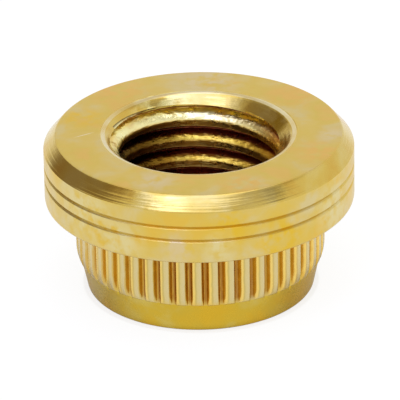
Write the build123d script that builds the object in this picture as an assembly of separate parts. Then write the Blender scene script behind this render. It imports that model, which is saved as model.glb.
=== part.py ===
from build123d import *
import math
import os

# Threaded insert with a flanged head and a straight-knurled body, turned from one bar.
# Lengths are in millimetres and angles in degrees. +Z is up, along the thread's axis.
# The origin is the centre of the lower end, so the head is at the top.

# Internal metric thread, M16 x 2. The bore is left at the thread's minor diameter.
thread_major_diameter = 16.0
thread_pitch = 2.0
minor_depth_per_pitch = 1.0825

# Countersinks at the two ends of the bore, as margins beyond the thread's major diameter
countersink_angle = 90.0
upper_mouth_margin = 0.2
lower_mouth_margin = 0.0

# Whole insert and its head
overall_height = 14.25
flange_diameter = 27.0
flange_thickness = 6.0
head_chamfer_width = 1.05
head_chamfer_height = 1.2
flange_lower_edge_break = 0.3

# Two thin V-grooves round the head, placed by their depth below the top face
groove_width = 0.34
groove_depth = 0.26
first_groove_below_top = 2.65
second_groove_below_top = 3.87

# Straight knurl, from the head's underside to the lead-in
ridge_count = 48
knurl_diameter = 21.7
knurl_length = 5.4
flute_depth = 0.45
flute_floor_width = 0.28
flute_angle = 46.0
flute_overrun = 0.5
ridge_end_length = 1.2
ridge_end_drop = 0.22
ridge_end_bevel = 0.16

# Plain tapered lead-in below the knurl
lead_in_end_diameter = 19.8
lead_in_edge_radius = 0.25

# Sizes worked out from those above
bore_radius = (thread_major_diameter - minor_depth_per_pitch * thread_pitch) / 2
upper_mouth_radius = (thread_major_diameter + upper_mouth_margin) / 2
lower_mouth_radius = (thread_major_diameter + lower_mouth_margin) / 2
countersink_slope = math.tan(math.radians(countersink_angle / 2))
flange_radius = flange_diameter / 2
flange_underside = overall_height - flange_thickness
ridge_radius = knurl_diameter / 2
ridge_tip_radius = ridge_radius - ridge_end_drop
knurl_end = flange_underside - knurl_length
lead_in_start_radius = ridge_tip_radius - ridge_end_bevel
lead_in_start = knurl_end - ridge_end_bevel
lead_in_end_radius = lead_in_end_diameter / 2


def section_point(radius, height):
    """A point of the turned section, in the XZ plane."""
    return Vector(radius, 0, height)


def groove_points(depth_below_top):
    """Lower lip, root and upper lip of one V-groove round the head."""
    middle = overall_height - depth_below_top
    return [
        section_point(flange_radius, middle - groove_width / 2),
        section_point(flange_radius - groove_depth, middle),
        section_point(flange_radius, middle + groove_width / 2),
    ]


def head_outline():
    """From the head's underside, by its broken lower edge, up to the mouth of the bore."""
    points = [
        section_point(ridge_radius, flange_underside),
        section_point(flange_radius - flange_lower_edge_break, flange_underside),
        section_point(flange_radius, flange_underside + flange_lower_edge_break),
    ]
    points += groove_points(second_groove_below_top)
    points += groove_points(first_groove_below_top)
    points.append(section_point(flange_radius, overall_height - head_chamfer_height))
    points.append(section_point(flange_radius - head_chamfer_width, overall_height))
    points.append(section_point(upper_mouth_radius, overall_height))
    return Polyline(*points)


def bore_outline():
    """Upper countersink, bore wall, lower countersink and the flat lower end."""
    upper_depth = (upper_mouth_radius - bore_radius) / countersink_slope
    lower_depth = (lower_mouth_radius - bore_radius) / countersink_slope
    return Polyline(
        section_point(upper_mouth_radius, overall_height),
        section_point(bore_radius, overall_height - upper_depth),
        section_point(bore_radius, lower_depth),
        section_point(lower_mouth_radius, 0),
        lead_in_edge_points()[0],
    )


def lead_in_edge_points():
    """Where the round at the lower edge meets the flat end and the lead-in's cone."""
    rise = lead_in_start
    run = lead_in_start_radius - lead_in_end_radius
    slant = math.hypot(rise, run)
    cone_direction = Vector(run / slant, 0, rise / slant)
    corner = section_point(lead_in_end_radius, 0)
    turn = math.acos(cone_direction.X)
    setback = lead_in_edge_radius * math.tan(turn / 2)
    return [corner - Vector(setback, 0, 0), corner + cone_direction * setback]


def body_outline():
    """From the lower edge up the lead-in, round the ridge ends and up the knurl."""
    edge_start, edge_end = lead_in_edge_points()
    lower_edge = TangentArc(edge_start, edge_end, tangent=(1, 0, 0))
    ridge_tip = section_point(ridge_tip_radius, knurl_end)
    cone_and_bevel = Polyline(
        edge_end,
        section_point(lead_in_start_radius, lead_in_start),
        ridge_tip,
    )
    ridge_end_top = section_point(ridge_radius, knurl_end + ridge_end_length)
    ridge_end = TangentArc(ridge_end_top, ridge_tip, tangent=(0, 0, -1))
    knurl_side = Line(ridge_end_top, section_point(ridge_radius, flange_underside))
    return [lower_edge, cone_and_bevel, ridge_end, knurl_side]


def turned_blank():
    """The insert as it leaves the lathe, before it is knurled."""
    edges = []
    for outline in [*body_outline(), head_outline(), bore_outline()]:
        edges.extend(outline.edges())
    section = Face(Wire.combine(edges)[0])
    return revolve(section, Axis.Z, 360)


def flute_cutter():
    """One flute beside the +X axis: flat-floored, with sloping flanks, and run out on the lead-in."""
    floor_radius = ridge_radius - flute_depth
    outer_radius = ridge_radius + flute_depth
    half_angle = math.radians(flute_angle / 2)
    floor_half_width = flute_floor_width / 2
    outer_half_width = floor_half_width + (outer_radius - floor_radius) * math.tan(half_angle)
    plan = Polyline(
        (floor_radius, -floor_half_width),
        (outer_radius, -outer_half_width),
        (outer_radius, outer_half_width),
        (floor_radius, floor_half_width),
        close=True,
    )
    lower_end = knurl_end - flute_overrun
    return extrude(Pos(0, 0, lower_end) * make_face(plan), knurl_length + flute_overrun)


def knurl_flutes():
    """All the flutes, each half a pitch away from a ridge, with one ridge on the +X axis."""
    cutter = flute_cutter()
    pitch_angle = 360 / ridge_count
    return [Rot(0, 0, (index + 0.5) * pitch_angle) * cutter for index in range(ridge_count)]


insert_body = turned_blank() - knurl_flutes()
insert_body.label = "insert_body"

os.makedirs("parts", exist_ok=True)
export_step(insert_body, "parts/insert_body.step")
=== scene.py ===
import math

import bmesh
import bpy
from mathutils import Matrix, Vector


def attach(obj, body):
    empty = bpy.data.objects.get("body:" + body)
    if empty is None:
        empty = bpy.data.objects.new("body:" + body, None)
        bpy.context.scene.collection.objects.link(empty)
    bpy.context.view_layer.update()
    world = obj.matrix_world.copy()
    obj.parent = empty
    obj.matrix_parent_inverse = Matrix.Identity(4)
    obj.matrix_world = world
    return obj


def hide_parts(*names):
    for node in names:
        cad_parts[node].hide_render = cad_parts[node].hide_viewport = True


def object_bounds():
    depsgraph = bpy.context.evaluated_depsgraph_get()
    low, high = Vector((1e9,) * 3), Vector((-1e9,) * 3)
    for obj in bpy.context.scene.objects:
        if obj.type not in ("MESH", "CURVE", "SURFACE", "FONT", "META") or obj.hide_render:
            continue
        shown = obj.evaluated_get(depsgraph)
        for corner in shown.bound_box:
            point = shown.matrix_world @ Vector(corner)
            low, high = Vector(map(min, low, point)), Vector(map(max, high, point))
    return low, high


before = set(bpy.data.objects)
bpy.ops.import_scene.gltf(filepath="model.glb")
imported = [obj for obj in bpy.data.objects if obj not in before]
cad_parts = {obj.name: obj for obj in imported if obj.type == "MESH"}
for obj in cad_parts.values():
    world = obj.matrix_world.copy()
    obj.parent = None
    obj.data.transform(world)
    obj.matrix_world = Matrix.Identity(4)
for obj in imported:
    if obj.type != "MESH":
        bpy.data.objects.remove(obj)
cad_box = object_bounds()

# Threaded insert with a flanged head and a straight knurl, in yellow-passivated zinc plate.
# Lengths are in millimetres, and are multiplied by MM wherever metres are needed.
# The origin is the centre of the lower end, and the sizes repeat those of the part's source.

MM = 0.001

# Head, whose height and radius come from the bounds of model.glb
height = round(cad_box[1].z / MM, 3)
flange_radius = round(cad_box[1].x / MM, 3)
flange_thickness = 6.0
flange_underside = height - flange_thickness
chamfer_width = 1.05
chamfer_height = 1.2
groove_width = 0.34
groove_depth = 0.26
first_groove = height - 2.65
second_groove = height - 3.87

# How far the head's edges are eased off
top_edge_round = 0.13
chamfer_edge_round = 0.06
upper_lip_round = 0.02
groove_root_round = 0.03
lower_lip_round = 0.05
lower_edge_round = 0.34

# Knurl
ridge_count = 48
ridge_radius = 10.85
knurl_length = 5.4
ridge_end_length = 1.2
ridge_end_drop = 0.22
ridge_end_bevel = 0.16
knurl_end = flange_underside - knurl_length
ridge_end_top = knurl_end + ridge_end_length
ridge_tip_radius = ridge_radius - ridge_end_drop
flute_depth = 0.45
flute_floor_radius = ridge_radius - flute_depth
flute_floor_half_width = 0.14
flute_half_angle = 23
flute_corner_round = 0.12
flute_end = 2.3
crest_half_angle = 1.8
crest_edge_rise = 0.025

# Lead-in
lead_in_start = knurl_end - ridge_end_bevel
lead_in_start_radius = ridge_tip_radius - ridge_end_bevel
lead_in_end_radius = 9.9
lead_in_edge_round = 0.25

# Thread, whose crest is flat from crest_below under its middle to crest_above over it
thread_pitch = 2.0
thread_root_radius = 8.0
thread_depth = 1.0825
minor_radius = thread_root_radius - thread_depth
crest_below = 0.40
crest_above = 0.05
lower_flank_slope = 2.0
upper_flank_curve = 1.42
crest_round = 0.15
root_round = 0.12

# Height of the first turn's crest at the far side of the bore, at 90 degrees
crest_height_at_back = 11.96

# Mouths of the bore, where the thread ends a little way short of the two faces
upper_mouth_radius = 8.22
upper_mouth_round = 0.9
lower_mouth_radius = thread_root_radius
countersink_slope = 45
countersink_edge_round = 0.04
lowest_thread_level = 0.08
highest_thread_level = height - 0.27


# Mesh rows and columns

# Radii of the rings on the top face, the head's underside and the lower end
top_rings = (8.8, 10.5)
underside_rings = (12.2, 11.0)
end_ring = 8.5

# Heights of the rows down the knurl, which are closer together where the ridges end
knurl_levels = [
    flange_underside, 8.1, 6.8, 5.4, ridge_end_top, 3.75, 3.5, 3.3, 3.15, 3.02, 2.93,
    knurl_end, 2.81, 2.77, 2.73, lead_in_start, 2.62, 2.54, 2.46, 2.38, flute_end,
]
lead_in_levels = (2.2, 1.2)

# Angles of the columns from a ridge's middle, in degrees, over one ridge pitch
ridge_columns = [
    -3.75, -3.3, -2.95, -2.65, -2.3, -2.0, -crest_half_angle, -1.0,
    1.0, crest_half_angle, 2.0, 2.3, 2.65, 2.95, 3.3,
]
crest_edge_column = ridge_columns.index(-crest_half_angle)

# Heights of the rows from a crest's middle, over one thread pitch
thread_rows = [
    -1.0, -0.96, -0.92, -0.87, -0.75, -0.55, -0.42, -0.36, -0.3, -0.24, -0.1,
    0.05, 0.12, 0.2, 0.3, 0.4, 0.5, 0.6, 0.7, 0.8, 0.88, 0.94,
]
bore_columns = 240
bore_angles = [360 * column / bore_columns for column in range(bore_columns)]
turns_below = 7
turns_above = 3

# Slopes of the upper mouth's round, in degrees, and those that carry a painted highlight
rim_slopes = range(42, -1, -6)
rim_highlight_slopes = range(6, 30)

# Steps of the lower mouth's small round, as (radius beyond the mouth's, height)
lower_rim_steps = [(-0.03, 0.03), (0.015, 0.006), (0.07, 0)]


# Helpers for the outlines

def share_between(value, start, end):
    """0 at the start, 1 at the end, and clamped beyond them."""
    return min(max((value - start) / (end - start), 0), 1)


def smooth_max(first, second, blend):
    """The larger of two values, eased where they meet."""
    overlap = max(blend - abs(first - second), 0) / blend
    return max(first, second) + overlap * overlap * blend / 4


def smooth_min(first, second, blend):
    """The smaller of two values, eased where they meet."""
    return -smooth_max(-first, -second, blend)


def rounded(corners, steps=3):
    """Outline points (radius, height) with each corner (radius, height, round) eased off."""
    points = []
    last = len(corners) - 1
    for index, (radius, level, ease) in enumerate(corners):
        here = Vector((radius, level))
        if ease == 0 or index in (0, last):
            points.append(here)
            continue
        before = Vector(corners[index - 1][:2])
        after = Vector(corners[index + 1][:2])
        start = here + (before - here).normalized() * ease
        end = here + (after - here).normalized() * ease
        for step in range(steps + 1):
            share = step / steps
            points.append(start.lerp(here, share).lerp(here.lerp(end, share), share))
    return [(point.x, point.y) for point in points]


# Outside

def groove_corners(level):
    """Upper lip, root and lower lip of one V-groove."""
    return [
        (flange_radius, level + groove_width / 2, upper_lip_round),
        (flange_radius - groove_depth, level, groove_root_round),
        (flange_radius, level - groove_width / 2, lower_lip_round),
    ]


def head_outline():
    """The head from the top face round to its underside."""
    corners = [
        *[(radius, height, 0) for radius in top_rings],
        (flange_radius - chamfer_width, height, top_edge_round),
        (flange_radius - chamfer_width / 2, height - chamfer_height / 2, 0),
        (flange_radius, height - chamfer_height, chamfer_edge_round),
        *groove_corners(first_groove),
        *groove_corners(second_groove),
        (flange_radius, flange_underside, lower_edge_round),
        *[(radius, flange_underside, 0) for radius in underside_rings],
    ]
    return rounded(corners)


def lead_in_radius(level):
    """Radius of the lead-in's cone."""
    share = level / lead_in_start
    return lead_in_end_radius + (lead_in_start_radius - lead_in_end_radius) * share


def lead_in_outline():
    """The plain part of the lead-in, its rounded lower edge and the lower end."""
    corners = [
        *[(lead_in_radius(level), level, 0) for level in lead_in_levels],
        (lead_in_end_radius, 0, lead_in_edge_round),
        (end_ring, 0, 0),
    ]
    return rounded(corners, steps=5)


def blank_radius(level):
    """Radius of the knurl's blank, which curves in at the ridge ends and then steps down."""
    if level >= ridge_end_top:
        return ridge_radius
    if level >= knurl_end:
        share = (ridge_end_top - level) / (ridge_end_top - knurl_end)
        return ridge_radius - (ridge_radius - ridge_tip_radius) * share * share
    if level >= lead_in_start:
        share = (knurl_end - level) / (knurl_end - lead_in_start)
        return ridge_tip_radius - (ridge_tip_radius - lead_in_start_radius) * share * share
    return lead_in_radius(level)


def flute_radius(offset):
    """Radius of a flute's floor or flank at an angle from the nearest ridge's middle."""
    from_flute = math.radians(180 / ridge_count - abs(offset))
    floor = flute_floor_radius / math.cos(from_flute)
    steepness = 1 / math.tan(math.radians(flute_half_angle))
    slope = math.cos(from_flute) - math.sin(from_flute) * steepness
    flank = (flute_floor_radius - flute_floor_half_width * steepness) / slope
    return smooth_max(floor, flank, flute_corner_round)


def knurl_radius(offset, level):
    """Radius of the knurl: a ridge with slightly raised edges, or a flute's flank."""
    crest_share = abs(offset) / crest_half_angle
    rise = crest_edge_rise * crest_share ** 4 if crest_share <= 1 and level > knurl_end else 0
    return min(blank_radius(level) + rise, flute_radius(offset))


def outer_finish(radius, level):
    """Name of the finish between two rows, by their wider radius and their middle height."""
    margin = 0.03
    if level > height - margin:
        return "top_face"
    if level > height - chamfer_height - margin:
        return "chamfer"
    if level > flange_underside + margin or radius > ridge_radius + margin:
        return "side"
    if level > lead_in_start:
        return "knurl"
    return "lead_in"


# Bore

def crest_height(angle):
    """Height of the thread's crest on its first turn at an angle in degrees."""
    return crest_height_at_back + thread_pitch * (angle - 90) / 360


def thread_radius(angle, level):
    """Radius of the internal thread: a plain flank below each crest, and a rounded one above."""
    turns = (level - crest_height(angle)) / thread_pitch
    above = (turns - round(turns)) * thread_pitch
    if above < 0:
        flank = minor_radius - (above + crest_below) * lower_flank_slope
        cut = smooth_max(minor_radius, flank, crest_round)
    else:
        cut = minor_radius + upper_flank_curve * max(above - crest_above, 0) ** 2
    return smooth_min(cut, thread_root_radius, root_round)


def countersink_radius(level):
    """Radius of the upper or lower countersink at a height, whichever is wider there."""
    return max(upper_mouth_radius - (height - level), lower_mouth_radius - level)


def bore_row(offset, turn):
    """One row of the bore that follows the helix, clamped between the two mouths."""
    row = []
    for angle in bore_angles:
        level = crest_height(angle) + offset + turn * thread_pitch
        level = min(max(level, lowest_thread_level), highest_thread_level)
        thread = thread_radius(angle, level)
        radius = smooth_max(thread, countersink_radius(level), countersink_edge_round)
        row.append((radius, level))
    return row


def bore_finish(corners):
    """Countersink or thread, by how far a face's middle lies outside the countersink."""
    margin = 0.012
    level = sum(corner[1] for corner in corners) / len(corners)
    radius = sum(corner[0] for corner in corners) / len(corners)
    return "countersink" if radius - countersink_radius(level) < margin else "thread"


# Heights between which the painted shade in the thread's roots fades out towards the mouth
root_shade_fade = (height - 0.55, height - 0.95)

# Heights over the first crest between which the painted highlight on the first flank starts and ends
flank_start = (0, 0.1)
flank_end = (1.4, 1.25)

# Angle that the first flank's painted highlight is centred on, and the cosines from it between which
# it fades in
flank_middle = 122
flank_fade = (-0.25, 0.5)


def bore_shades(row):
    """How deep in the thread each vertex lies, with the roots' painted shade fading out near the
    mouth, and how much of the first flank's painted highlight it gets.
    """
    shades = []
    for angle, (radius, level) in zip(bore_angles, row):
        depth = (thread_radius(angle, level) - minor_radius) / thread_depth
        depth *= share_between(level, *root_shade_fade)
        above_crest = level - crest_height(angle)
        on_flank = share_between(above_crest, *flank_start) * share_between(above_crest, *flank_end)
        toward_middle = math.cos(math.radians(angle - flank_middle))
        shades.append((depth, on_flank * share_between(toward_middle, *flank_fade)))
    return shades


def upper_rim():
    """The round of the upper mouth as (radius, height, finish), up to the top face."""
    start = upper_mouth_radius + upper_mouth_round * math.tan(math.radians(countersink_slope / 2))
    rim = []
    for slope in rim_slopes:
        turn = math.radians(slope)
        inward = upper_mouth_round * math.sin(turn)
        drop = upper_mouth_round * (1 - math.cos(turn))
        # The rim's middle slopes get the pale finish of the painted highlight
        finish = "rim_highlight" if slope in rim_highlight_slopes else "countersink"
        rim.append((start - inward, height - drop, finish))
    return rim


def lower_rim():
    """The round of the lower mouth as (radius, height, finish), down to the lower end."""
    return [(lower_mouth_radius + beyond, level, "countersink") for beyond, level in lower_rim_steps]


# Closed mesh

class Shell:
    """Collects the vertices and faces of one closed mesh, with a finish for each face."""

    def __init__(self):
        self.vertices = []
        self.shades = []
        self.faces = []
        self.finishes = []

    def add_ring(self, angles, row, shades=None):
        """Adds one ring of (radius, height) and returns the numbers of its vertices."""
        ring = []
        for angle, (radius, level) in zip(angles, row):
            turn = math.radians(angle)
            ring.append(len(self.vertices))
            point = Vector((radius * math.cos(turn), radius * math.sin(turn), level))
            self.vertices.append(point * MM)
        self.shades += shades or [(0, 0)] * len(ring)
        return ring

    def add_face(self, corners, finish):
        """Adds one face by the numbers of its vertices."""
        self.faces.append(corners)
        self.finishes.append(finish)

    def join_rings(self, upper, lower, finish):
        """Joins two rings with as many vertices each by quads."""
        count = len(upper)
        for index in range(count):
            after = (index + 1) % count
            self.add_face((upper[index], lower[index], lower[after], upper[after]), finish)

    def zip_rings(self, first, first_angles, second, second_angles, finish):
        """Joins two flat rings of different counts by triangles."""
        first_ends = [*first_angles[1:], first_angles[0] + 360]
        second_ends = [*second_angles[1:], second_angles[0] + 360]
        near = 0
        far = 0
        while near < len(first) or far < len(second):
            near_corner = first[near % len(first)]
            far_corner = second[far % len(second)]
            if far == len(second) or (near < len(first) and first_ends[near] <= second_ends[far]):
                near += 1
                next_corner = first[near % len(first)]
            else:
                far += 1
                next_corner = second[far % len(second)]
            self.add_face((near_corner, next_corner, far_corner), finish)


def add_outside(shell):
    """Adds the outside from the top face to the lower end, and returns its end rings."""
    angles = []
    offsets = []
    for ridge in range(ridge_count):
        for offset in ridge_columns:
            angles.append(ridge * 360 / ridge_count + offset)
            offsets.append(offset)
    rows = [[point] * len(angles) for point in head_outline()]
    for level in knurl_levels:
        rows.append([(knurl_radius(offset, level), level) for offset in offsets])
    rows += [[point] * len(angles) for point in lead_in_outline()]
    rings = [shell.add_ring(angles, row) for row in rows]
    for index in range(len(rings) - 1):
        upper_radius, upper_level = rows[index][crest_edge_column]
        lower_radius, lower_level = rows[index + 1][crest_edge_column]
        finish = outer_finish(max(upper_radius, lower_radius), (upper_level + lower_level) / 2)
        shell.join_rings(rings[index], rings[index + 1], finish)
    return angles, rings[0], rings[-1]


def add_bore(shell):
    """Adds the threaded bore, and returns its lowest and highest rings."""
    rows = []
    for turn in range(-turns_below, turns_above):
        for offset in thread_rows:
            rows.append(bore_row(offset, turn))
    rings = [shell.add_ring(bore_angles, row, bore_shades(row)) for row in rows]
    for index in range(len(rings) - 1):
        for column in range(bore_columns):
            after = (column + 1) % bore_columns
            # After a whole turn the helix meets the rows of the next turn up
            turn_rows = 0 if after else len(thread_rows)
            if index + 1 + turn_rows >= len(rings):
                continue
            places = [
                (index, column),
                (index + turn_rows, after),
                (index + turn_rows + 1, after),
                (index + 1, column),
            ]
            corners = [rows[row][place] for row, place in places]
            numbers = [rings[row][place] for row, place in places]
            shell.add_face(numbers, bore_finish(corners))
    return rings[0], rings[-1]


def add_mouth(shell, ring, rim):
    """Adds the rounded rim of one mouth to the bore's end ring, and returns its last ring."""
    for radius, level, finish in rim:
        following = shell.add_ring(bore_angles, [(radius, level)] * bore_columns)
        shell.join_rings(following, ring, finish)
        ring = following
    return ring


def build_insert():
    """The whole insert as one closed mesh."""
    shell = Shell()
    outer_angles, top_ring, bottom_ring = add_outside(shell)
    lowest_ring, highest_ring = add_bore(shell)
    upper_ring = add_mouth(shell, highest_ring, upper_rim())
    lower_ring = add_mouth(shell, lowest_ring, lower_rim())
    shell.zip_rings(upper_ring, bore_angles, top_ring, outer_angles, "top_face")
    shell.zip_rings(bottom_ring, outer_angles, lower_ring, bore_angles, "lead_in")
    return shell


# Helpers for the shader nodes

def empty_tree(owner):
    """The emptied node tree of a material or the world."""
    owner.use_nodes = True
    owner.node_tree.nodes.clear()
    return owner.node_tree


def add_node(tree, kind, values=None, links=None, **settings):
    """Adds one shader node, sets its values and links its inputs."""
    node = tree.nodes.new(kind)
    for name, value in settings.items():
        setattr(node, name, value)
    for name, value in (values or {}).items():
        node.inputs[name].default_value = value
    for name, socket in (links or {}).items():
        tree.links.new(socket, node.inputs[name])
    return node


def feed(tree, socket, value):
    """Gives a socket a number, a plain colour or a link."""
    if isinstance(value, (int, float)):
        socket.default_value = value
    elif isinstance(value, tuple):
        socket.default_value = (*value, 1)
    else:
        tree.links.new(value, socket)


def add_output(tree, shader, kind="ShaderNodeOutputMaterial"):
    """Links a shader to a new output of a material or the world."""
    add_node(tree, kind, links={"Surface": shader.outputs[0]})


def noise(tree, place, scale, detail=2, roughness=0.5, distortion=0):
    """A noise texture's value at a place."""
    values = {"Scale": scale, "Detail": detail, "Roughness": roughness, "Distortion": distortion}
    return add_node(tree, "ShaderNodeTexNoise", values, {"Vector": place}).outputs["Fac"]


def remap(tree, value, start, end, low=0, high=1):
    """Turns a range of values into another one, and clamps it."""
    values = {"From Min": start, "From Max": end, "To Min": low, "To Max": high}
    return add_node(tree, "ShaderNodeMapRange", values, {"Value": value}).outputs["Result"]


def stretch(tree, place, factors):
    """A place with its three coordinates scaled."""
    node = add_node(tree, "ShaderNodeVectorMath", {1: factors}, {0: place}, operation="MULTIPLY")
    return node.outputs[0]


def split(tree, place):
    """The three coordinates of a place, as sockets named X, Y and Z."""
    return add_node(tree, "ShaderNodeSeparateXYZ", links={0: place}).outputs


def distance(tree, place):
    """How far a place lies from the origin."""
    node = add_node(tree, "ShaderNodeVectorMath", links={0: place}, operation="LENGTH")
    return node.outputs["Value"]


def sum_node(tree, operation, first, second=0):
    """One sum on sockets or numbers."""
    node = add_node(tree, "ShaderNodeMath", operation=operation)
    feed(tree, node.inputs[0], first)
    feed(tree, node.inputs[1], second)
    return node.outputs[0]


def colour_ramp(tree, factor, stops):
    """A ramp through colours at places from 0 to 1."""
    ramp = add_node(tree, "ShaderNodeValToRGB", links={"Fac": factor})
    elements = ramp.color_ramp.elements
    while len(elements) < len(stops):
        elements.new(0.5)
    for element, (place, colour) in zip(elements, stops):
        element.position = place
        element.color = (*colour, 1)
    return ramp.outputs["Color"]


def mix_colour(tree, factor, first, second, blend="MIX"):
    """Mixes two colours, each a socket or a plain colour."""
    node = add_node(tree, "ShaderNodeMix", data_type="RGBA", blend_type=blend)
    feed(tree, node.inputs[0], factor)
    feed(tree, node.inputs[6], first)
    feed(tree, node.inputs[7], second)
    return node.outputs[2]


def bump(tree, relief, depth, under=None):
    """Normals of a relief with a depth in millimetres, laid over other normals if given."""
    links = {"Height": relief}
    if under is not None:
        links["Normal"] = under
    values = {"Strength": 1.0, "Distance": depth * MM}
    return add_node(tree, "ShaderNodeBump", values, links).outputs["Normal"]


# Plating

gloss_spread = 0.03


def plated(name, colour_at, roughness, line_depth, line_scale, dent_depth=0.012):
    """Passivated zinc plate in a colour, with fine tool lines, small dents and uneven gloss."""
    material = bpy.data.materials.new(name)
    tree = empty_tree(material)
    metres = add_node(tree, "ShaderNodeTexCoord").outputs["Object"]
    place = stretch(tree, metres, (1 / MM, 1 / MM, 1 / MM))
    lines = bump(tree, noise(tree, stretch(tree, place, line_scale), scale=1), line_depth)
    dents = bump(tree, noise(tree, place, scale=1.1, detail=3), dent_depth, lines)
    gloss = remap(
        tree, noise(tree, place, scale=0.8, detail=3), start=0.3, end=0.7,
        low=roughness - gloss_spread, high=roughness + gloss_spread,
    )
    links = {"Base Color": colour_at(tree, place), "Roughness": gloss, "Normal": dents}
    add_output(tree, add_node(tree, "ShaderNodeBsdfPrincipled", {"Metallic": 1.0}, links))
    return material


def mottled(tree, place, tints):
    """Cloudy plating, from a ramp of tints over soft noise."""
    clouds = noise(tree, place, scale=0.3, detail=3, roughness=0.55, distortion=0.3)
    return colour_ramp(tree, clouds, tints)


def spot(tree, place, centre, size, core, turn=0):
    """1 in the core of an ellipse around a centre, fading to 0 at its rim."""
    values = {"Location": centre, "Rotation": (0, 0, math.radians(turn)), "Scale": size}
    local = add_node(tree, "ShaderNodeMapping", values, {"Vector": place}, vector_type="TEXTURE")
    return remap(tree, distance(tree, local.outputs[0]), 1, core)


def patched(tree, place, colour, patches):
    """Lays soft, ragged patches (centre, radius, tint) over a colour."""
    ragged = remap(tree, noise(tree, place, scale=0.9, detail=3), start=0.38, end=0.56)
    for centre, radius, tint in patches:
        inside = spot(tree, place, centre, (radius, radius, radius), core=0.3)
        colour = mix_colour(tree, sum_node(tree, "MULTIPLY", inside, ragged), colour, tint)
    return colour


# Tints that patches share
peach = (0.76, 0.48, 0.11)
rose_grey = (0.70, 0.55, 0.27)
deep_gold = (0.76, 0.50, 0.045)
pale_gold = (0.74, 0.62, 0.28)


# Satin top face

top_tints = [
    (0.32, (0.69, 0.54, 0.21)), (0.43, (0.71, 0.52, 0.13)),
    (0.54, (0.70, 0.51, 0.10)), (0.66, (0.74, 0.49, 0.11)),
]
top_patches = [
    ((-7.5, 8.5, height), 3.6, peach), ((8.2, 7.8, height), 3.2, peach),
    ((0.5, 10.6, height), 4.2, rose_grey), ((-3.5, -9.6, height), 2.6, rose_grey),
    ((4.0, -10.3, height), 2.6, peach), ((10.5, -4.0, height), 2.8, peach),
    ((11.6, -0.6, height), 1.8, rose_grey), ((-10.2, 3.0, height), 2.6, deep_gold),
]
scratch_centre = (-9.9, -0.5, height)
scratch_size = (1.15, 0.08, 1)
scratch_turn = 32
scratch_tint = (0.80, 0.68, 0.42)


def top_colour(tree, place):
    """Mottled gold with peach and rose patches, and one faint scratch."""
    colour = patched(tree, place, mottled(tree, place, top_tints), top_patches)
    scratch = spot(tree, place, scratch_centre, scratch_size, core=0.5, turn=scratch_turn)
    return mix_colour(tree, scratch, colour, scratch_tint)


# Bright chamfer and countersink, and a painted highlight on the rim between the countersink and the
# top face

bright_tints = [(0.35, (0.70, 0.54, 0.17)), (0.5, (0.68, 0.49, 0.11)), (0.65, (0.66, 0.43, 0.08))]
rim_highlight_tints = [(0.35, (0.80, 0.70, 0.43)), (0.5, (0.76, 0.61, 0.29)), (0.65, (0.71, 0.52, 0.17))]
# Patches of painted highlight at the countersink's back left and painted shade at its right
mouth_light_and_shade_patches = [
    ((-3.6, 7.2, 13.7), 3.5, (1.0, 0.90, 0.40)), ((7.4, 2.6, 13.7), 3.6, (0.54, 0.35, 0.03)),
]


def chamfer_colour(tree, place):
    """Plain mottled gold."""
    return mottled(tree, place, bright_tints)


def countersink_colour(tree, place):
    """Mottled gold with a painted highlight patch at the back left and a painted shade patch at the
    right.
    """
    return patched(tree, place, mottled(tree, place, bright_tints), mouth_light_and_shade_patches)


def rim_highlight_colour(tree, place):
    """Pale gold on the mouth's rim: a painted highlight that whitens its reflection."""
    return mottled(tree, place, rim_highlight_tints)


# Satin side of the head

side_tints = [
    (0.32, (0.70, 0.57, 0.26)), (0.44, (0.71, 0.53, 0.15)),
    (0.54, (0.72, 0.52, 0.11)), (0.66, (0.75, 0.50, 0.08)),
]
side_patches = [
    ((7.2, -11.4, 9.6), 3.4, deep_gold), ((3.0, -13.1, 11.6), 2.6, deep_gold),
    ((-1.5, -13.4, 9.8), 1.9, rose_grey), ((2.0, -13.3, 9.7), 1.8, pale_gold),
    ((-9.6, -9.4, 11.5), 4.2, pale_gold), ((-6.5, -11.8, 9.6), 2.8, pale_gold),
    ((11.8, -6.5, 10.5), 3.4, pale_gold),
]


def side_colour(tree, place):
    """Mottled gold with deeper, paler and rose patches."""
    return patched(tree, place, mottled(tree, place, side_tints), side_patches)


# Rolled knurl

knurl_tints = [(0.35, (0.64, 0.52, 0.22)), (0.5, (0.68, 0.50, 0.13)), (0.65, (0.70, 0.48, 0.10))]
# Painted shade in the flutes, and the plain gold that it gives way to at the part's left and right
flute_shade = (0.30, 0.10, 0.012)
unshaded_flute = (0.66, 0.42, 0.05)

# Tints over one knurl pitch, from one flute's middle over the ridge to the next flute's: painted
# shade in the flutes and on the flanks, and a painted highlight along one crest edge
ridge_light_and_shade_tints = [
    (0.0, flute_shade), (0.08, (0.40, 0.16, 0.02)), (0.17, (0.78, 0.46, 0.07)),
    (0.25, (0.92, 0.65, 0.17)), (0.33, (0.84, 0.60, 0.16)), (0.41, (0.56, 0.43, 0.13)),
    (0.5, (0.68, 0.56, 0.25)), (0.71, (0.68, 0.57, 0.31)), (0.79, (0.58, 0.44, 0.12)),
    (0.9, (0.58, 0.34, 0.05)), (1.0, flute_shade),
]

# How far the tints stray sideways as a share of a pitch, and how far out to the left and right the
# flutes' painted shade gives way to plain gold
ridge_wobble = 0.025
unshaded_from = 4.5
unshaded_to = 8.5

# Heights between which the ridges' tints come in, and how strong they are above them
ridge_tints_from = knurl_end - 0.25
ridge_tints_to = knurl_end + 0.35
ridge_tints_share = 0.85


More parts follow.
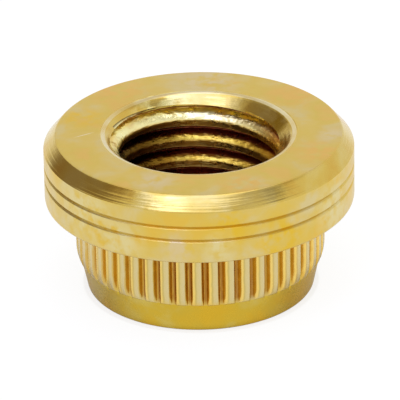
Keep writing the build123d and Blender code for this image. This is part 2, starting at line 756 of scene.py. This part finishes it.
def ridge_light_and_shade(tree, place):
    """Tints that repeat with each ridge: painted shade in the flutes and on the flanks and a painted
    highlight along one crest edge, with the flutes' painted shade giving way to plain gold at the
    part's left and right.
    """
    parts = split(tree, place)
    turn = sum_node(tree, "ARCTAN2", parts["Y"], parts["X"])
    pitches = sum_node(tree, "MULTIPLY", turn, ridge_count / math.tau)
    wobble = remap(
        tree, noise(tree, place, scale=1.3), start=0.3, end=0.7,
        low=0.5 - ridge_wobble, high=0.5 + ridge_wobble,
    )
    share = sum_node(tree, "FRACT", sum_node(tree, "ADD", pitches, wobble))
    colour = colour_ramp(tree, share, ridge_light_and_shade_tints)
    outward = remap(tree, sum_node(tree, "ABSOLUTE", parts["X"]), unshaded_from, unshaded_to)
    return mix_colour(tree, outward, colour, unshaded_flute, blend="LIGHTEN")


def knurl_colour(tree, place):
    """The ridges' tints with their painted shade and highlight, which give way to plain mottled gold
    at the ridges' lower ends.
    """
    level = split(tree, place)["Z"]
    on_ridges = remap(tree, level, ridge_tints_from, ridge_tints_to, 0, ridge_tints_share)
    return mix_colour(tree, on_ridges, mottled(tree, place, knurl_tints), ridge_light_and_shade(tree, place))


# Turned lead-in

lead_in_tints = [(0.35, (0.60, 0.45, 0.09)), (0.5, (0.60, 0.41, 0.04)), (0.65, (0.65, 0.41, 0.03))]


def lead_in_colour(tree, place):
    """Mottled gold, deeper than the head's."""
    return mottled(tree, place, lead_in_tints)


# Tapped thread

thread_tints = [(0.35, (1.0, 1.0, 1.0)), (0.5, (0.97, 0.93, 0.85)), (0.65, (0.90, 0.72, 0.55))]

# Tints by depth, from the crest to the root, of all the turns, with painted shade in the roots, and
# of the first flank's painted highlight, which ends in painted shade at its root
depth_shade_tints = [
    (0.0, (0.62, 0.41, 0.11)), (0.03, (0.66, 0.46, 0.10)), (0.1, (0.72, 0.54, 0.09)),
    (0.25, (0.84, 0.60, 0.09)), (0.38, (0.80, 0.50, 0.08)), (0.52, (0.42, 0.15, 0.07)),
    (1.0, (0.30, 0.09, 0.05)),
]
flank_highlight_tints = [
    (0.0, (0.66, 0.45, 0.12)), (0.02, (0.90, 0.75, 0.30)), (0.08, (1.0, 0.94, 0.50)),
    (0.45, (1.0, 0.93, 0.48)), (0.6, (1.0, 0.88, 0.34)), (0.94, (1.0, 0.84, 0.28)),
    (0.985, (0.36, 0.16, 0.04)),
]

# Painted shade across the bore, from its left wall to its right one: deep on the left, reddish on
# the right
wall_shade_tints = [
    (0.0, (0.12, 0.09, 0.07)), (0.2, (0.20, 0.15, 0.12)), (0.32, (0.55, 0.47, 0.38)),
    (0.43, (1.0, 1.0, 1.0)), (0.6, (1.0, 1.0, 1.0)), (0.85, (1.0, 0.86, 0.70)),
]


def thread_colour(tree, place):
    """Gold crests, painted shade in the roots and on the bore's left and right walls, and a painted
    highlight on the first flank at the back and left.
    """
    depth = add_node(tree, "ShaderNodeAttribute", attribute_name="thread_depth").outputs["Fac"]
    # Mask of the painted highlight on the first flank
    first = add_node(tree, "ShaderNodeAttribute", attribute_name="flank_highlight").outputs["Fac"]
    across = remap(tree, split(tree, place)["X"], -thread_root_radius, thread_root_radius)
    wall_shade = colour_ramp(tree, across, wall_shade_tints)
    wall_shaded = mix_colour(tree, 1, colour_ramp(tree, depth, depth_shade_tints), wall_shade, blend="MULTIPLY")
    colour = mix_colour(tree, first, wall_shaded, colour_ramp(tree, depth, flank_highlight_tints))
    return mix_colour(tree, 1, colour, mottled(tree, place, thread_tints), blend="MULTIPLY")


# Finishes, whose tool lines are closest together along the axis with the largest scale
finishes = {
    "top_face": plated(
        "satin_top", top_colour, roughness=0.38, line_depth=0.002, line_scale=(2, 2, 2)
    ),
    "chamfer": plated(
        "bright_chamfer", chamfer_colour, roughness=0.16, line_depth=0.04, line_scale=(0.08, 0.08, 6)
    ),
    "side": plated(
        "satin_side", side_colour, roughness=0.32, line_depth=0.004, line_scale=(0.1, 0.1, 9)
    ),
    "knurl": plated(
        "rolled_knurl", knurl_colour, roughness=0.26, line_depth=0.012, line_scale=(3, 3, 0.4)
    ),
    "lead_in": plated(
        "turned_lead_in", lead_in_colour, roughness=0.28, line_depth=0.004, line_scale=(0.1, 0.1, 9)
    ),
    "countersink": plated(
        "turned_countersink", countersink_colour,
        roughness=0.2, line_depth=0.03, line_scale=(0.3, 0.3, 5), dent_depth=0.02,
    ),
    # The mouth's rim, with a painted highlight
    "rim_highlight": plated(
        "mouth_rim_highlight", rim_highlight_colour,
        roughness=0.3, line_depth=0.01, line_scale=(0.3, 0.3, 5), dent_depth=0.03,
    ),
    "thread": plated(
        "tapped_thread", thread_colour,
        roughness=0.28, line_depth=0.06, line_scale=(1.2, 1.2, 5), dent_depth=0.15,
    ),
}


# Insert

def merge_and_smooth(mesh):
    """Merges the clamped rows, and leaves only steep edges sharp."""
    merge_distance = 0.0005 * MM
    sharp_angle = math.radians(62)
    work = bmesh.new()
    work.from_mesh(mesh)
    bmesh.ops.remove_doubles(work, verts=work.verts, dist=merge_distance)
    bmesh.ops.dissolve_degenerate(work, edges=work.edges, dist=merge_distance)
    bmesh.ops.recalc_face_normals(work, faces=work.faces)
    for edge in work.edges:
        edge.smooth = edge.calc_face_angle(0) < sharp_angle
    work.to_mesh(mesh)
    work.free()


def insert_object(shell):
    """Makes the Blender object, with its finishes and the thread's shades."""
    mesh = bpy.data.meshes.new("plated_insert")
    mesh.from_pydata(shell.vertices, [], shell.faces)
    # The second attribute masks the painted highlight on the first flank
    for index, name in enumerate(("thread_depth", "flank_highlight")):
        shade = mesh.attributes.new(name, "FLOAT", "POINT")
        shade.data.foreach_set("value", [values[index] for values in shell.shades])
    names = list(finishes)
    for name in names:
        mesh.materials.append(finishes[name])
    for polygon, finish in zip(mesh.polygons, shell.finishes):
        polygon.material_index = names.index(finish)
        polygon.use_smooth = True
    merge_and_smooth(mesh)
    piece = bpy.data.objects.new("plated_insert", mesh)
    bpy.context.scene.collection.objects.link(piece)
    weighted = piece.modifiers.new("even_shading", "WEIGHTED_NORMAL")
    weighted.keep_sharp = True
    return piece


insert = insert_object(build_insert())
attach(insert, "root")
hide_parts("insert_body")


# Studio

def direction(azimuth, elevation):
    """Unit vector at an azimuth from +Y towards +X and an elevation, in degrees."""
    turn = math.radians(azimuth)
    rise = math.radians(elevation)
    return (math.sin(turn) * math.cos(rise), math.cos(turn) * math.cos(rise), math.sin(rise))


# Parts of the studio: where each lies, its full and fading extents in degrees, and its light
studio_parts = {
    "ceiling": (direction(0, 90), 35, 52, (0.62, 0.59, 0.55)),
    "overhead_lamp": (direction(0, 90), 14, 29, (1.7, 1.7, 1.7)),
    "dark_left_wall": (direction(-62, 20), 12, 30, (0.28, 0.22, 0.16)),
    "dark_left_canopy": (direction(-86, 39), 8, 25, (0.28, 0.22, 0.16)),
    "dark_stand": (direction(108, 47), 3, 10, (0.42, 0.40, 0.38)),
    "softbox": (direction(-165, 70), 16, 31, (1.55, 1.65, 2.5)),
    "softbox_middle": (direction(-152, 53), 4, 13, (2.5, 2.8, 5.8)),
}
wall_light = (0.93, 0.93, 0.93)


def make_world():
    """A studio with pale walls, a lamp and a softbox overhead, and dark things at the sides."""
    world = bpy.data.worlds.new("studio")
    bpy.context.scene.world = world
    tree = empty_tree(world)
    way = add_node(tree, "ShaderNodeTexCoord").outputs["Generated"]
    light = wall_light
    for toward, inner, outer, value in studio_parts.values():
        along = add_node(
            tree, "ShaderNodeVectorMath", {1: toward}, {0: way}, operation="DOT_PRODUCT"
        ).outputs["Value"]
        limits = {
            "From Min": math.cos(math.radians(outer)),
            "From Max": math.cos(math.radians(inner)),
        }
        share = add_node(
            tree, "ShaderNodeMapRange", limits, {"Value": along}, interpolation_type="SMOOTHSTEP"
        ).outputs["Result"]
        light = mix_colour(tree, share, light, value)
    background = add_node(tree, "ShaderNodeBackground", {"Strength": 1.0}, {"Color": light})
    add_output(tree, background, "ShaderNodeOutputWorld")


# Floor, with the pairs of distances over which its glow changes and its covered ring
floor_half_size = 20000 * MM
floor_level = -0.01 * MM
front_fade = (-6 * MM, -10 * MM)
far_fade = (13 * MM, 18 * MM)
base_fade = (9.7 * MM, 10.4 * MM)
covered_ring = (8.1 * MM, 9.65 * MM)

# Shares of glow: in reflections beside the part, elsewhere, and to the camera near the base
least_glow = 0.1
full_glow = 0.85
glow_at_base = 0.85


def floor_glow(tree, place):
    """Share of glow in the floor: none in the light that falls on the part or inside its bore."""
    path = add_node(tree, "ShaderNodeLightPath")
    camera = path.outputs["Is Camera Ray"]
    seen = sum_node(tree, "MAXIMUM", camera, path.outputs["Is Glossy Ray"])
    seen = sum_node(tree, "MAXIMUM", seen, path.outputs["Is Transmission Ray"])
    away = distance(tree, place)
    in_front = remap(tree, split(tree, place)["Y"], *front_fade)
    far = remap(tree, away, *far_fade)
    open_floor = sum_node(tree, "MAXIMUM", sum_node(tree, "MAXIMUM", in_front, far), camera)
    share = remap(tree, open_floor, 0, 1, least_glow, full_glow)
    clear_of_base = remap(tree, away, *base_fade)
    to_camera = sum_node(tree, "MULTIPLY", camera, glow_at_base)
    shown = sum_node(tree, "MAXIMUM", clear_of_base, to_camera)
    return sum_node(tree, "MULTIPLY", sum_node(tree, "MULTIPLY", seen, share), shown)


def under_the_end_face(tree, place):
    """1 on the ring of floor that the flat lower end covers."""
    away = distance(tree, place)
    inner, outer = covered_ring
    outside_bore = sum_node(tree, "GREATER_THAN", away, inner)
    inside_edge = sum_node(tree, "LESS_THAN", away, outer)
    return sum_node(tree, "MULTIPLY", outside_bore, inside_edge)


def floor_material():
    """White that keeps a faint shadow, and is clear from below and under the lower end."""
    material = bpy.data.materials.new("white_floor")
    tree = empty_tree(material)
    place = add_node(tree, "ShaderNodeTexCoord").outputs["Object"]
    diffuse = add_node(tree, "ShaderNodeBsdfDiffuse", {"Color": (0.90, 0.89, 0.80, 1)})
    glow = add_node(tree, "ShaderNodeEmission", {"Color": (1, 1, 1, 1), "Strength": 1.06})
    clear = add_node(tree, "ShaderNodeBsdfTransparent")
    lit = add_node(
        tree, "ShaderNodeMixShader",
        links={0: floor_glow(tree, place), 1: diffuse.outputs[0], 2: glow.outputs[0]},
    )
    from_below = add_node(tree, "ShaderNodeNewGeometry").outputs["Backfacing"]
    unseen = sum_node(tree, "MAXIMUM", from_below, under_the_end_face(tree, place))
    surface = add_node(
        tree, "ShaderNodeMixShader",
        links={0: unseen, 1: lit.outputs[0], 2: clear.outputs[0]},
    )
    add_output(tree, surface)
    return material


def make_floor():
    """A plain square floor under the part."""
    low = -floor_half_size
    high = floor_half_size
    corners = [
        (low, low, floor_level), (high, low, floor_level),
        (high, high, floor_level), (low, high, floor_level),
    ]
    mesh = bpy.data.meshes.new("floor")
    mesh.from_pydata(corners, [], [(0, 1, 2, 3)])
    mesh.materials.append(floor_material())
    floor = bpy.data.objects.new("floor", mesh)
    bpy.context.scene.collection.objects.link(floor)


# Camera, with its angles in degrees
camera_place = Vector((0, -414.645, 211.529))
camera_aim = Vector((0.026, 0, 7.679))
camera_turn = 1.8
camera_roll = -0.973
camera_lens = 476.66


def make_camera():
    """The photograph's camera: a long lens from 26 degrees above, slightly rolled."""
    data = bpy.data.cameras.new("photo_camera")
    data.sensor_width = 36
    data.lens = camera_lens
    data.clip_start = 0.01
    data.clip_end = 100
    camera = bpy.data.objects.new("photo_camera", data)
    bpy.context.scene.collection.objects.link(camera)
    around = Matrix.Rotation(math.radians(camera_turn), 3, "Z")
    place = around @ camera_place * MM
    aim = around @ camera_aim * MM
    level = (aim - place).to_track_quat("-Z", "Y").to_matrix()
    rolled = level @ Matrix.Rotation(math.radians(camera_roll), 3, "Z")
    camera.matrix_world = Matrix.Translation(place) @ rolled.to_4x4()
    bpy.context.scene.camera = camera


make_world()
make_floor()
make_camera()
bpy.context.scene.view_settings.view_transform = "Standard"
